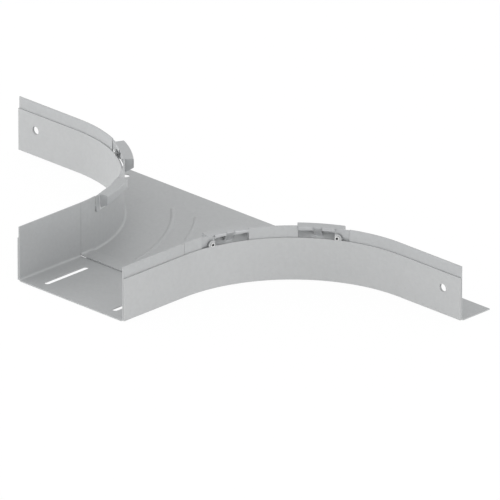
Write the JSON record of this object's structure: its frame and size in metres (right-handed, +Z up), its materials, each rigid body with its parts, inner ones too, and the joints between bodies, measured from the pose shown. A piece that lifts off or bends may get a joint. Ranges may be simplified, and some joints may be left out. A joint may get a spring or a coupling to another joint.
{
  "type": "cable tray tee",
  "caption": "Sheet-steel tee that joins a branch cable tray to the side of a main run, with curved walls, a floor flange and latch brackets on the wall tops.",
  "frame": {"origin": "centre of the bounding box in plan, at the underside of the floor", "axes": "+X along the main run, to the right seen from the branch; +Y from the branch opening towards the main run; +Z up"},
  "size_m": [0.634, 0.2834, 0.06],
  "materials": {
    "channel_sheet": "galvanised, matt",
    "plate_sheet": "galvanised, matt",
    "band_sheet": "galvanised, matt",
    "bracket_sheet": "galvanised, satin",
    "rivet_steel": "zinc plated, satin"
  },
  "bodies": {
    "root": {"inlet_channel": "channel_sheet", "floor_plate": "plate_sheet", "side_band_left": "band_sheet", "side_band_right": "band_sheet", "latch_bracket_left_branch": "bracket_sheet", "latch_bracket_left_main": "bracket_sheet", "latch_bracket_right_branch": "bracket_sheet", "latch_bracket_right_main": "bracket_sheet", "hollow_rivet_left_branch": "rivet_steel", "hollow_rivet_left_main": "rivet_steel", "hollow_rivet_right_branch": "rivet_steel", "hollow_rivet_right_main": "rivet_steel"}
  },
  "joints": []
}
